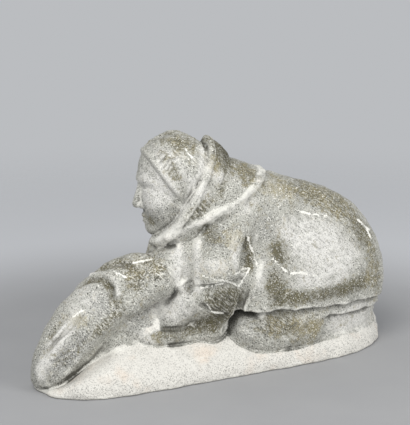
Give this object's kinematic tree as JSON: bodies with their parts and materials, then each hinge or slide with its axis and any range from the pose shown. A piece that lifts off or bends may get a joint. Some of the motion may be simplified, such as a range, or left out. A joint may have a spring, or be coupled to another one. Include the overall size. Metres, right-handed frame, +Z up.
{
  "type": "soapstone hunter sculpture",
  "caption": "Carved stone figure of a hooded hunter kneeling on a boat-shaped base, one arm propping the body and the head raised over a long rounded form; flat underside.",
  "frame": {"origin": "on the flat underside, under the middle of the outline", "axes": "+X from the pointed tip to the back of the figure, the longest way; +Y across, away from the propping arm; +Z up"},
  "size_m": [0.2842, 0.0892, 0.1714],
  "materials": {
    "stone": "pale grey-green soapstone, finely pecked and dull, rubbed smooth on the back and stained olive-brown in the hollows"
  },
  "bodies": {
    "root": {"hunter_carving": "stone"}
  },
  "joints": []
}
